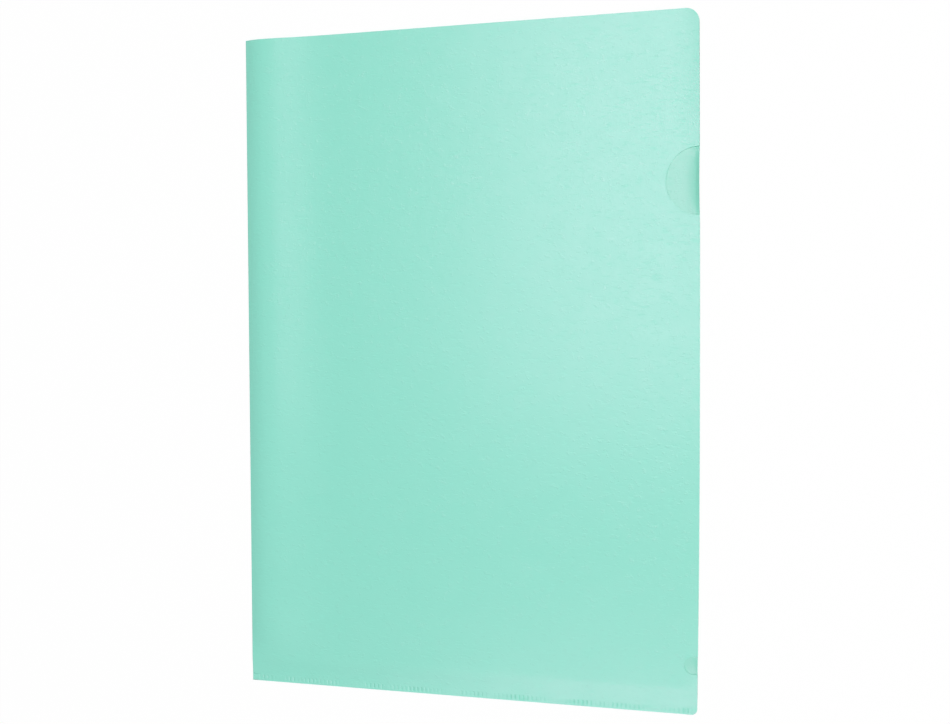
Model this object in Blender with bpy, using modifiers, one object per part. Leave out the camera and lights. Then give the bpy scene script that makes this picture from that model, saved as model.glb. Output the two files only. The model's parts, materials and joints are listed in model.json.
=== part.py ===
"""Tinted A4 L-folder: one polypropylene film folded at the left, welded along the bottom,
open at the top and the right, with a thumb cut in the front film.

It lies on its rear film, with X across the page, Y up the page and Z up. The origin is under the
middle of the page. The front film's free corner bends open along lines parallel to the page's
diagonal, because the fold and the weld hold the rest of it flat. Those lines are hinges here.
"""

import math

import bmesh
import bpy
from mathutils import Matrix, Vector

MM = 0.001

# Sheet and film
SHEET_WIDTH = 220 * MM
SHEET_HEIGHT = 310 * MM
FILM = 0.2 * MM
TOP_CORNER_RADIUS = 6 * MM
BOTTOM_CORNER_RADIUS = 2.5 * MM

# Pocket between the two films: a tight crease, then a swelling where the film springs up beside it
POCKET_GAP = 0.6 * MM
CREASE_WIDTH = 1 * MM
SWELL_HEIGHT = 1.1 * MM
SWELL_WIDTH = 36 * MM
SWELL_RUN_IN = 30 * MM

# Weld along the bottom edge, with the print of a serrated welding bar, and the lip above it
# where the front film comes away, a little proud of the pressed strip
WELD_HEIGHT = 3.4 * MM
LIP_WIDTH = 9 * MM
LIP_PARTING = 0.08 * MM
TICK_PITCH = 2 * MM
TICK_WIDTH = 0.8 * MM
TICK_DEPTH = 0.12 * MM
TICK_MARGIN = 0.6 * MM
TICK_END_MARGIN = 4 * MM

# Cut-outs in the open edge of the front film
THUMB_RADIUS = 15 * MM
THUMB_DROP = 75 * MM
RELIEF_RADIUS = 4 * MM
RELIEF_DEPTH = 6 * MM
RELIEF_RISE = 22 * MM

# Bend lines of the free corner
BEND_COUNT = 6
BEND_CLEARANCE = 2 * MM
THUMB_CLEARANCE = 6 * MM

# Slit between neighbouring pieces of film
JOIN_GAP = 0.3 * MM

# Cutters reach this far past the film
CUT_MARGIN = 5 * MM

# Steps of round and curved stretches
ARC_STEPS = 12
THUMB_STEPS = 28
CREASE_STEPS = 10
RISE_STEPS = 8
FALL_STEPS = 10
RUN_IN_STEPS = 10
LIP_STEPS = 8

FILM_MINT = (0.305, 0.745, 0.617, 1.0)
WELD_MINT = (0.27, 0.70, 0.58, 1.0)

# Worked out from the sizes above
DIAGONAL = math.hypot(SHEET_WIDTH, SHEET_HEIGHT)
THUMB_RISE = SHEET_HEIGHT - THUMB_DROP
FRONT_UNDERSIDE = FILM + POCKET_GAP
FRONT_TOP = FRONT_UNDERSIDE + FILM
SWELL_END = CREASE_WIDTH + SWELL_WIDTH
SWELL_CREST = CREASE_WIDTH + SWELL_WIDTH / 3
LIP_TOP = WELD_HEIGHT + LIP_WIDTH
FOOT_TOP = LIP_TOP + SWELL_RUN_IN


def page(u, v, z=0.0):
    """The point u from the fold and v from the bottom edge, in the model's frame."""
    return Vector((u - SHEET_WIDTH / 2, v - SHEET_HEIGHT / 2, z))


def clamp(value):
    return min(1.0, max(0.0, value))


def smoothstep(value):
    share = clamp(value)
    return share * share * (3 - 2 * share)


def spread(start, end, steps):
    return [start + (end - start) * step / steps for step in range(steps + 1)]


def arc(centre, radius, start, end, steps):
    """Points (u, v) on an arc, with its angles in degrees."""
    points = []
    for step in range(steps + 1):
        angle = math.radians(start + (end - start) * step / steps)
        points.append((centre[0] + radius * math.cos(angle), centre[1] + radius * math.sin(angle)))
    return points


def swell(u, v):
    """Rise of the front film beside the springy fold, which dies away towards the weld.

    It is highest a third of the way across, where the steep side meets the gentle one.
    """
    share = clamp((u - CREASE_WIDTH) / SWELL_WIDTH)
    run_in = smoothstep((v - LIP_TOP) / SWELL_RUN_IN)
    return SWELL_HEIGHT * run_in * 27 / 4 * share * (1 - share) ** 2


def diagonal_distance(u, v):
    """Distance from the diagonal that runs from the fold's top to the weld's open end."""
    return (u * SHEET_HEIGHT + v * SHEET_WIDTH - SHEET_WIDTH * SHEET_HEIGHT) / DIAGONAL


def top_crossing(distance):
    """Where the bend line at this distance from the diagonal meets the top edge."""
    return distance * DIAGONAL / SHEET_HEIGHT, SHEET_HEIGHT


def side_crossing(distance):
    """Where the bend line at this distance from the diagonal meets the open side edge."""
    return SHEET_WIDTH, distance * DIAGONAL / SHEET_WIDTH


def bend_distances():
    """The bend lines, evenly spaced from the held zones to just before the thumb cut."""
    clear_of_swell = diagonal_distance(SWELL_END + JOIN_GAP, SHEET_HEIGHT)
    clear_of_relief = diagonal_distance(SHEET_WIDTH, RELIEF_RISE + RELIEF_RADIUS)
    first = max(clear_of_swell, clear_of_relief) + BEND_CLEARANCE
    last = diagonal_distance(SHEET_WIDTH, THUMB_RISE) - THUMB_RADIUS - THUMB_CLEARANCE
    return spread(first, last, BEND_COUNT - 1)


def clear_scene():
    for obj in list(bpy.data.objects):
        bpy.data.objects.remove(obj, do_unlink=True)


def new_collection(name):
    collection = bpy.data.collections.new(name)
    bpy.context.scene.collection.children.link(collection)
    return collection


def film_material(name, colour, roughness):
    material = bpy.data.materials.new(name)
    material.use_nodes = True
    shader = material.node_tree.nodes["Principled BSDF"]
    shader.inputs["Base Color"].default_value = colour
    shader.inputs["Roughness"].default_value = roughness
    shader.inputs["Metallic"].default_value = 0.0
    return material


def outline_solid(name, outline, thickness, collection):
    """A flat outline of (x, y) points, filled, with its thickness spread evenly about its plane."""
    curve = bpy.data.curves.new(name, "CURVE")
    curve.dimensions = "2D"
    curve.fill_mode = "BOTH"
    curve.extrude = thickness / 2
    spline = curve.splines.new("POLY")
    spline.points.add(len(outline) - 1)
    spline.use_cyclic_u = True
    for point, (x, y) in zip(spline.points, outline):
        point.co = (x, y, 0, 1)
    obj = bpy.data.objects.new(name, curve)
    collection.objects.link(obj)
    return obj


def flat_film(name, outline, underside, collection):
    """A flat piece of film with an outline of (u, v) points."""
    obj = outline_solid(name, outline, FILM, collection)
    obj.location = page(0, 0, underside + FILM / 2)
    return obj


def to_mesh(curve_object, collection):
    """The curve object as a mesh object of the same name and place, with its caps welded on."""
    bpy.context.view_layer.update()
    evaluated = curve_object.evaluated_get(bpy.context.evaluated_depsgraph_get())
    mesh = bpy.data.meshes.new_from_object(evaluated)
    edit = bmesh.new()
    edit.from_mesh(mesh)
    bmesh.ops.remove_doubles(edit, verts=edit.verts, dist=FILM / 100)
    bmesh.ops.recalc_face_normals(edit, faces=edit.faces)
    edit.to_mesh(mesh)
    edit.free()
    name, place = curve_object.name, curve_object.matrix_world.copy()
    bpy.data.objects.remove(curve_object, do_unlink=True)
    obj = bpy.data.objects.new(name, mesh)
    obj.matrix_world = place
    collection.objects.link(obj)
    return obj


def curved_film(name, columns, rows, surface, collection):
    """A curved piece: surface(column, row) gives the film's middle, thickened equally both ways."""
    edit = bmesh.new()
    bmesh.ops.create_grid(edit, x_segments=len(columns) - 1, y_segments=len(rows) - 1, size=0.5)
    for vert in edit.verts:
        column = columns[round((vert.co.x + 0.5) * (len(columns) - 1))]
        row = rows[round((vert.co.y + 0.5) * (len(rows) - 1))]
        vert.co = surface(column, row)
    mesh = bpy.data.meshes.new(name)
    edit.to_mesh(mesh)
    edit.free()
    mesh.shade_smooth()
    obj = bpy.data.objects.new(name, mesh)
    collection.objects.link(obj)
    solidify = obj.modifiers.new("film thickness", "SOLIDIFY")
    solidify.thickness = FILM
    solidify.offset = 0
    solidify.use_even_offset = True
    return obj


def cut(obj, cutter, operation="DIFFERENCE"):
    cutter.hide_render = True
    cutter.display_type = "WIRE"
    boolean = obj.modifiers.new(cutter.name, "BOOLEAN")
    boolean.operation = operation
    boolean.solver = "EXACT"
    boolean.object = cutter


def rear_sheet(collection):
    left, bottom = CREASE_WIDTH + JOIN_GAP, WELD_HEIGHT + JOIN_GAP
    corner = (SHEET_WIDTH - TOP_CORNER_RADIUS, SHEET_HEIGHT - TOP_CORNER_RADIUS)
    outline = [(left, bottom), (SHEET_WIDTH, bottom)]
    outline += arc(corner, TOP_CORNER_RADIUS, 0, 90, ARC_STEPS)
    outline += [(left, SHEET_HEIGHT)]
    return flat_film("rear_sheet", outline, 0.0, collection)


def spine_fold(collection):
    """The crease: a half-round profile with short legs, run up the page from the weld."""
    inner = POCKET_GAP / 2
    outer = inner + FILM
    centre = (outer, outer)
    profile = [(CREASE_WIDTH, 0)]
    profile += arc(centre, outer, 270, 90, CREASE_STEPS)
    profile += [(CREASE_WIDTH, FRONT_TOP), (CREASE_WIDTH, FRONT_UNDERSIDE)]
    profile += arc(centre, inner, 90, 270, CREASE_STEPS)
    profile += [(CREASE_WIDTH, FILM)]
    bottom = WELD_HEIGHT + JOIN_GAP
    obj = outline_solid("spine_fold", profile, SHEET_HEIGHT - bottom, collection)
    obj.rotation_euler.x = math.pi / 2
    obj.location = page(0, (bottom + SHEET_HEIGHT) / 2)
    return obj


def swollen_film(name, columns, rows, collection):
    """A piece of the front film beside the crease, where it springs up."""

    def surface(u, v):
        return page(u, v, FRONT_UNDERSIDE + FILM / 2 + swell(u, v))

    return curved_film(name, columns, rows, surface, collection)


def fold_swell(collection):
    """The swollen film: its steep side, its gentle side, and the foot that comes down to the weld."""
    left = CREASE_WIDTH + JOIN_GAP
    rise = spread(left, SWELL_CREST - JOIN_GAP / 2, RISE_STEPS)
    fall = spread(SWELL_CREST + JOIN_GAP / 2, SWELL_END, FALL_STEPS)
    side_rows = [FOOT_TOP + JOIN_GAP, SHEET_HEIGHT]
    foot = spread(left, SWELL_CREST, RISE_STEPS) + spread(SWELL_CREST, SWELL_END, FALL_STEPS)[1:]
    foot_rows = spread(LIP_TOP + JOIN_GAP, FOOT_TOP, RUN_IN_STEPS)
    return [
        swollen_film("fold_rise", rise, side_rows, collection),
        swollen_film("fold_fall", fall, side_rows, collection),
        swollen_film("fold_foot", foot, foot_rows, collection),
    ]


def front_sheet(first_bend, collection):
    """The flat part of the front film that the fold and the weld hold down, with its relief cut.

    The small U-shaped cut keeps the open edge from tearing towards the weld.
    """
    left, bottom = SWELL_END + JOIN_GAP, LIP_TOP + JOIN_GAP
    edge = first_bend - JOIN_GAP / 2
    inner = SHEET_WIDTH - RELIEF_DEPTH + RELIEF_RADIUS
    outline = [(left, bottom), (SHEET_WIDTH, bottom), (SHEET_WIDTH, RELIEF_RISE - RELIEF_RADIUS)]
    outline += arc((inner, RELIEF_RISE), RELIEF_RADIUS, 270, 90, ARC_STEPS)
    outline += [(SHEET_WIDTH, RELIEF_RISE + RELIEF_RADIUS)]
    outline += [side_crossing(edge), top_crossing(edge), (left, SHEET_HEIGHT)]
    return flat_film("front_sheet", outline, FRONT_UNDERSIDE, collection)


def tick_cutter(collection):
    """The welding bar's teeth: a row of upright blocks that press into the fused strip."""
    edit = bmesh.new()
    count = int((SHEET_WIDTH - 2 * TICK_END_MARGIN) / TICK_PITCH) + 1
    first = (SHEET_WIDTH - (count - 1) * TICK_PITCH) / 2
    size = Matrix.Diagonal((TICK_WIDTH, WELD_HEIGHT - 2 * TICK_MARGIN, 2 * TICK_DEPTH, 1))
    for tick in range(count):
        centre = page(first + tick * TICK_PITCH, WELD_HEIGHT / 2, 2 * FILM)
        bmesh.ops.create_cube(edit, size=1, matrix=Matrix.Translation(centre) @ size)
    mesh = bpy.data.meshes.new("tick_cutter")
    edit.to_mesh(mesh)
    edit.free()
    obj = bpy.data.objects.new("tick_cutter", mesh)
    collection.objects.link(obj)
    return obj


def bottom_weld(collection, cutters):
    """The strip where both films are fused, with its row of ticks, and the lip of front film above it.

    The section across the strip is run past both ends, and then trimmed to the sheet's outline.
    """
    lip = []
    for share in spread(0, 1, LIP_STEPS):
        lift = LIP_PARTING + (POCKET_GAP - LIP_PARTING) * smoothstep(share)
        lip.append((WELD_HEIGHT + share * LIP_WIDTH, FILM + lift))
    lip.append((LIP_TOP + CUT_MARGIN, FRONT_UNDERSIDE))
    section = [(-CUT_MARGIN, 0), (WELD_HEIGHT, 0)]
    section += lip
    section += [(v, z + FILM) for v, z in reversed(lip)]
    section += [(WELD_HEIGHT, 2 * FILM), (-CUT_MARGIN, 2 * FILM)]
    strip = outline_solid("bottom_weld", section, SHEET_WIDTH + 2 * CUT_MARGIN, collection)
    strip.rotation_euler = (math.pi / 2, 0, math.pi / 2)
    strip.location = page(SHEET_WIDTH / 2, 0)
    weld = to_mesh(strip, collection)

    corner = (SHEET_WIDTH - BOTTOM_CORNER_RADIUS, BOTTOM_CORNER_RADIUS)
    left = CREASE_WIDTH + JOIN_GAP
    plan = [(0, WELD_HEIGHT), (0, 0)]
    plan += arc(corner, BOTTOM_CORNER_RADIUS, -90, 0, ARC_STEPS)
    plan += [(SHEET_WIDTH, LIP_TOP), (left, LIP_TOP), (left, WELD_HEIGHT)]
    trim = outline_solid("weld_trim", plan, 2 * (FRONT_TOP + CUT_MARGIN), cutters)
    trim.location = page(0, 0)
    cut(weld, to_mesh(trim, cutters), "INTERSECT")
    cut(weld, tick_cutter(cutters))
    return weld


def flap_strip(number, near, far, collection):
    """A band of the front film between two bend lines."""
    near, far = near + JOIN_GAP / 2, far - JOIN_GAP / 2
    outline = [side_crossing(near), side_crossing(far), top_crossing(far), top_crossing(near)]
    return flat_film(f"flap_strip_{number}", outline, FRONT_UNDERSIDE, collection)


def flap_corner(near, collection):
    """The free corner of the front film, past the last bend line, with the thumb cut."""
    near += JOIN_GAP / 2
    corner = (SHEET_WIDTH - TOP_CORNER_RADIUS, SHEET_HEIGHT - TOP_CORNER_RADIUS)
    outline = [side_crossing(near)]
    outline += arc((SHEET_WIDTH, THUMB_RISE), THUMB_RADIUS, 270, 90, THUMB_STEPS)
    outline += arc(corner, TOP_CORNER_RADIUS, 0, 90, ARC_STEPS)
    outline += [top_crossing(near)]
    return flat_film("flap_corner", outline, FRONT_UNDERSIDE, collection)


def bend_hinge(number, distance, parent, collection):
    """An empty on a bend line, at the front film's outer face, with its X axis along the line."""
    empty = bpy.data.objects.new(f"bend_{number}", None)
    middle = [sum(pair) / 2 for pair in zip(top_crossing(distance), side_crossing(distance))]
    angle = math.atan2(-SHEET_HEIGHT, SHEET_WIDTH)
    turn = Matrix.Rotation(angle, 4, "Z")
    collection.objects.link(empty)
    empty.parent = parent
    bpy.context.view_layer.update()
    empty.matrix_world = Matrix.Translation(page(*middle, FRONT_TOP)) @ turn
    bpy.context.view_layer.update()
    return empty


def hang_on(obj, empty):
    """Parents a piece to the hinge that carries it, where it lies."""
    obj.parent = empty
    obj.matrix_parent_inverse = empty.matrix_world.inverted()


def build():
    clear_scene()
    pieces = new_collection("l_folder")
    cutters = new_collection("cutters")
    tinted = film_material("tinted_film", FILM_MINT, 0.45)
    fused = film_material("fused_film", WELD_MINT, 0.35)

    root = bpy.data.objects.new("folder", None)
    pieces.objects.link(root)
    bends = bend_distances()

    weld = bottom_weld(pieces, cutters)
    fixed = [rear_sheet(pieces), spine_fold(pieces), front_sheet(bends[0], pieces)]
    fixed += fold_swell(pieces)
    for obj in fixed + [weld]:
        obj.parent = root

    moving = []
    carrier = root
    for number, distance in enumerate(bends, start=1):
        carrier = bend_hinge(number, distance, carrier, pieces)
        if number < BEND_COUNT:
            piece = flap_strip(number, distance, bends[number], pieces)
        else:
            piece = flap_corner(distance, pieces)
        hang_on(piece, carrier)
        moving.append(piece)

    for obj in fixed + moving:
        obj.data.materials.append(tinted)
    weld.data.materials.append(fused)


build()
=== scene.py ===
"""Looks of the mint L-folder: one film, folded at the left, welded below, open at the top and the right."""

import json
import logging
import math
from dataclasses import dataclass, field
from enum import Enum
from typing import Callable

import bmesh
import bpy
from mathutils import Matrix, Vector
from mathutils.geometry import delaunay_2d_cdt


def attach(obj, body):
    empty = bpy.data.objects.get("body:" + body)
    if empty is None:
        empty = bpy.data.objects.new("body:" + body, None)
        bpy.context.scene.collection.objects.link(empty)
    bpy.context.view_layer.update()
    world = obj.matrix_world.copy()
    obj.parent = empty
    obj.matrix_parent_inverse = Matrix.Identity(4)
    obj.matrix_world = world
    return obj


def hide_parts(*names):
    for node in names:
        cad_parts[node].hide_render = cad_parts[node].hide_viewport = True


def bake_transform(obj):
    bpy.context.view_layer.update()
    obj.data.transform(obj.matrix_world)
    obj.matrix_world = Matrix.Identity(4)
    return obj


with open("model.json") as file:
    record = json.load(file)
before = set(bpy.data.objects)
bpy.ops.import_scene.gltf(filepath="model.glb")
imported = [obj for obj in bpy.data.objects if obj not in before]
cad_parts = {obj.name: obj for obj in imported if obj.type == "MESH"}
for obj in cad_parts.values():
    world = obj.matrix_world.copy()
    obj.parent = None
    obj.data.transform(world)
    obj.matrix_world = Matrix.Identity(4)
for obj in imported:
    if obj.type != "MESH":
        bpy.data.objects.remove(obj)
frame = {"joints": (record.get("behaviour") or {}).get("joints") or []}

LOG = logging.getLogger("l_folder")
MM = 0.001
# Attribute that marks the weld's ticks, where the film takes painted shade for their grooves.
TICK_SHADE = "printed"

# Points closer than this are one point, and a squared length is never taken as less than the second value.
SAME_POINT = 1e-8
LEAST_SQUARE = 1e-18

# A net is filled with the triangles inside its edge only, in millimetres and with this tolerance.
INSIDE_ONLY = 1
FILL_TOLERANCE = 1e-6

Point = tuple[float, float]
Colour = tuple[float, float, float]
Surface = Callable[[float, float], Vector]
Socket = bpy.types.NodeSocket
Sockets = bpy.types.bpy_prop_collection
Value = Socket | float
Inputs = dict[str | int, object]


class Rim(Enum):
    """How closely the edge of a film is divided into short runs, in metres."""

    STILL = 8 * MM
    BENDING = 2.5 * MM


class Clear(Enum):
    """How far a net's inner points keep from its outline, in metres."""

    REAR = 0.3 * MM
    HELD = 0.6 * MM
    BEND = 1.0 * MM
    LIFT = 0.5 * MM
    CURL = 0.15 * MM
    WELD = 0.1 * MM


class Sharp(Enum):
    """Angles from which an edge shows as sharp, in degrees."""

    CUT = 35
    TICK = 50


class Tint(Enum):
    """The record's material slots for the film and the weld."""

    FILM = "tinted_film"
    WELD = "fused_film"


def clamp(value: float) -> float:
    """Holds a value between 0 and 1."""
    return min(1.0, max(0.0, value))


def smoothstep(value: float) -> float:
    """Eases a share from 0 to 1 with a level start and end."""
    share = clamp(value)
    return share * share * (3 - 2 * share)


def eased(value: float) -> float:
    """Adds up smoothstep, for a slope that sets in gently and then holds.

    Args:
        value: how far the slope has come, 1 where it has set in.

    Returns:
        The sum from 0 to that value.
    """
    if value >= 1:
        return value - 0.5
    share = clamp(value)
    return share ** 3 - share ** 4 / 2


def spread(first: float, last: float, steps: int) -> list[float]:
    """Divides a length into even steps.

    Args:
        first: where the length starts.
        last: where the length ends.
        steps: how many steps it has.

    Returns:
        The ends of the steps, both ends of the length included.
    """
    return [first + (last - first) * step / steps for step in range(steps + 1)]


def arc(centre: Point, radius: float, start: float, end: float, steps: int) -> list[Point]:
    """Divides an arc into points.

    Args:
        centre: the arc's centre on the page.
        radius: the arc's radius.
        start: its first angle in degrees.
        end: its last angle in degrees.
        steps: how many steps it has.

    Returns:
        The points along the arc, both ends included.
    """
    points = []
    for angle in spread(math.radians(start), math.radians(end), steps):
        points.append((centre[0] + radius * math.cos(angle), centre[1] + radius * math.sin(angle)))
    return points


@dataclass(frozen=True)
class Page:
    """Sizes of the folder, measured from its fold at the left and its welded edge at the bottom."""

    width: float = 220 * MM
    height: float = 310 * MM
    film: float = 0.2 * MM
    pocket: float = 0.6 * MM
    top_corner: float = 6 * MM
    bottom_corner: float = 2.5 * MM
    corner_steps: int = 14
    weld: float = 3.4 * MM
    lip: float = 9 * MM
    # The front film's swelling beside the fold, which grows from a low share to the full height.
    swell_height: float = 1.9 * MM
    swell_rise: float = 9.5 * MM
    swell_fall: float = 39.5 * MM
    swell_start: float = 0.45 * MM
    swell_run_in: float = 27 * MM
    swell_low: float = 0.72
    swell_grows: tuple[float, float] = (45 * MM, 140 * MM)
    # Shares of the swelling's fall in which its slope sets in and runs out.
    slope_in: float = 0.20
    slope_out: float = 0.72
    # How far the weld draws the open edge in as it cools, and the power with which that fades up the page.
    shrink: float = 1.9 * MM
    shrink_fade: float = 3.5
    # Rows of the nets, close together up to this many run-ins above the weld and wider apart from there.
    close_reach: float = 1.4
    close_rows: int = 26
    wide_rows: int = 66

    @property
    def swell_end(self) -> float:
        """Where the swelling beside the fold has run out."""
        return self.swell_start + self.swell_rise + self.swell_fall

    def rows(self) -> list[float]:
        """Heights up the page that every net shares, close together where the film comes off the weld."""
        foot = self.weld + self.close_reach * self.swell_run_in
        return spread(self.weld, foot, self.close_rows) + spread(foot, self.height, self.wide_rows)[1:]

    def rounded_corner(self) -> list[Point]:
        """The top corner of both films at the open side."""
        centre = (self.width - self.top_corner, self.height - self.top_corner)
        return arc(centre, self.top_corner, 0, 90, self.corner_steps)

    def place(self, u: float, v: float, z: float) -> Vector:
        """Turns a place on the page into a point in the frame.

        Args:
            u: distance from the fold.
            v: distance from the bottom edge.
            z: height above the surface that the folder lies on.

        Returns:
            The point, with the frame's origin under the middle of the page, and the open edge drawn in a
            little towards the weld, which shrinks as it cools.
        """
        drawn_in = self.shrink * clamp(1 - v / self.height) ** self.shrink_fade
        return Vector((u * (1 - drawn_in / self.width) - self.width / 2, v - self.height / 2, z))

    def parting(self, v: float) -> float:
        """How far the films are apart where the front one comes off the weld."""
        return self.pocket * smoothstep((v - self.weld) / self.lip)

    def grown(self, v: float) -> float:
        """Finds how far the swelling has grown at a height on the page.

        Args:
            v: distance from the bottom edge.

        Returns:
            0 at the weld and 1 where the swelling is full.
        """
        low, high = self.swell_grows
        share = self.swell_low + (1 - self.swell_low) * smoothstep((v - low) / (high - low))
        return share * smoothstep((v - self.weld) / self.swell_run_in)

    def swell(self, u: float, v: float) -> float:
        """Finds how much the front film swells beside the fold: steep at first, then in a long gentle fall.

        Args:
            u: distance from the fold.
            v: distance from the bottom edge.

        Returns:
            The height that the swelling adds.
        """
        across = u - self.swell_start
        height = self.swell_height * self.grown(v)
        if across < self.swell_rise:
            share = across / self.swell_rise
            return height * share * (2 - share)
        share = clamp((across - self.swell_rise) / self.swell_fall)
        down = self.slope_in * eased(share / self.slope_in)
        down -= self.slope_out * eased((share + self.slope_out - 1) / self.slope_out)
        return height * (1 - down / (1 - self.slope_in / 2 - self.slope_out / 2))

    def underside(self, u: float, v: float) -> float:
        """Height of the front film's inner face."""
        return self.film + self.parting(v) + self.swell(u, v)

    def fold_radius(self, v: float) -> float:
        """Outer radius of the crease, which flattens into the weld."""
        return self.film + self.parting(v) / 2

    def fold_slope(self, v: float) -> float:
        """Angle at which the front film leaves the crease."""
        return math.atan(2 * self.swell_height * self.grown(v) / self.swell_rise)

    def fold_seam(self, v: float) -> float:
        """Distance from the fold at which the crease ends and the front film starts."""
        return self.fold_radius(v) * (1 - math.sin(self.fold_slope(v)))


@dataclass
class Outline:
    """A closed outline on the page, anticlockwise."""

    points: list[Point]

    def edges(self) -> list[tuple[Point, Point]]:
        """The outline's straight runs."""
        return list(zip(self.points, self.points[1:] + self.points[:1]))

    def clipped(self, normal: Point, distance: float, beyond: bool) -> "Outline":
        """Cuts the outline along a straight line.

        Args:
            normal: direction across the line.
            distance: the line's distance from the page's corner, along the normal.
            beyond: True keeps the part past the line, False the part before it.

        Returns:
            The part that is kept.
        """
        sign = 1 if beyond else -1
        kept = []
        for start, end in self.edges():
            first = sign * (start[0] * normal[0] + start[1] * normal[1] - distance)
            second = sign * (end[0] * normal[0] + end[1] * normal[1] - distance)
            if first >= 0:
                kept.append(start)
            if first * second < 0:
                share = first / (first - second)
                kept.append(tuple(a + (b - a) * share for a, b in zip(start, end)))
        return Outline(kept)

    def divided(self, rim: Rim) -> "Outline":
        """Divides the long runs, so that the edge can follow a bend.

        Args:
            rim: how long a run may be.

        Returns:
            The same outline with more points.
        """
        points = []
        for start, end in self.edges():
            steps = max(1, math.ceil(math.dist(start, end) / rim.value))
            for share in spread(0, 1, steps)[:-1]:
                points.append(tuple(a + (b - a) * share for a, b in zip(start, end)))
        return Outline(points)

    def holds(self, point: Point, clear: Clear) -> bool:
        """Tells whether a point lies inside the outline.

        Args:
            point: the point on the page.
            clear: how far from the outline it has to be.

        Returns:
            True if the point is inside and clear of the edge.
        """
        inside = False
        for (ax, ay), (bx, by) in self.edges():
            if (ay > point[1]) != (by > point[1]):
                inside ^= point[0] < ax + (bx - ax) * (point[1] - ay) / (by - ay)
            square = max((bx - ax) ** 2 + (by - ay) ** 2, LEAST_SQUARE)
            share = clamp(((point[0] - ax) * (bx - ax) + (point[1] - ay) * (by - ay)) / square)
            near = (ax + (bx - ax) * share, ay + (by - ay) * share)
            if math.dist(point, near) < clear.value:
                return False
        return inside

    def kept(self, points: list[Point], clear: Clear) -> list[Point]:
        """The points that lie inside the outline and clear of it."""
        return [point for point in points if self.holds(point, clear)]


@dataclass
class Net:
    """Points and faces on the flattened film."""

    points: list[Point] = field(default_factory=list)
    faces: list[tuple[int, ...]] = field(default_factory=list)

    @classmethod
    def filled(cls, outline: Outline, inside: list[Point]) -> "Net":
        """Fills an outline with triangles.

        Args:
            outline: the edge of the net.
            inside: points that the triangles meet in.

        Returns:
            The net.
        """
        count = len(outline.points)
        given = outline.points + inside
        edges = [(i, (i + 1) % count) for i in range(count)]
        flat = [Vector(point) / MM for point in given]
        _, _, faces, sources, _, _ = delaunay_2d_cdt(flat, edges, [], INSIDE_ONLY, FILL_TOLERANCE)
        points = [given[source[0]] for source in sources]
        return cls(points, [tuple(face) for face in faces])

    @classmethod
    def ruled(cls, columns: list[list[Point]]) -> "Net":
        """Rules a net of four-sided faces.

        Args:
            columns: lists of points up the page, from left to right, all of one length.

        Returns:
            The net.
        """
        tall = len(columns[0])
        net = cls([point for column in columns for point in column])
        for c in range(len(columns) - 1):
            for r in range(tall - 1):
                corner = c * tall + r
                net.faces.append((corner, corner + tall, corner + tall + 1, corner + 1))
        return net

    def joined(self, other: "Net") -> "Net":
        """Joins another net to this one along the points that they share.

        Args:
            other: the net beside this one.

        Returns:
            Both as one net.
        """
        places: dict[tuple[int, int], int] = {}
        net = Net()
        for part in (self, other):
            numbers = []
            for point in part.points:
                key = (round(point[0] / SAME_POINT), round(point[1] / SAME_POINT))
                if key not in places:
                    places[key] = len(net.points)
                    net.points.append(point)
                numbers.append(places[key])
            for face in part.faces:
                net.faces.append(tuple(numbers[i] for i in face))
        return net

    def rim(self) -> list[tuple[int, int]]:
        """Finds the edges that only one face has.

        Returns:
            The edges' two points, in the direction of their own face.
        """
        seen: set[tuple[int, int]] = set()
        for face in self.faces:
            seen.update(zip(face, face[1:] + face[:1]))
        return [edge for edge in seen if (edge[1], edge[0]) not in seen]

    def solid(self, name: str, upper: Surface, lower: Surface) -> bpy.types.Object:
        """Makes a closed film of the net.

        Args:
            name: the piece's name.
            upper: the face on the side that an anticlockwise face of the net looks to.
            lower: the other face.

        Returns:
            The piece, with smooth faces and sharp cut edges.
        """
        edit = bmesh.new()
        tops = [edit.verts.new(upper(*point)) for point in self.points]
        bottoms = [edit.verts.new(lower(*point)) for point in self.points]
        for face in self.faces:
            edit.faces.new([tops[i] for i in face])
            edit.faces.new([bottoms[i] for i in reversed(face)])
        for start, end in sorted(self.rim()):
            edit.faces.new((tops[start], bottoms[start], bottoms[end], tops[end]))
        bmesh.ops.remove_doubles(edit, verts=edit.verts, dist=SAME_POINT)
        mesh = bpy.data.meshes.new(name)
        edit.to_mesh(mesh)
        edit.free()
        mesh.shade_smooth()
        mesh.set_sharp_from_angle(angle=math.radians(Sharp.CUT.value))
        obj = bpy.data.objects.new(name, mesh)
        bpy.context.scene.collection.objects.link(obj)
        return obj


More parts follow.
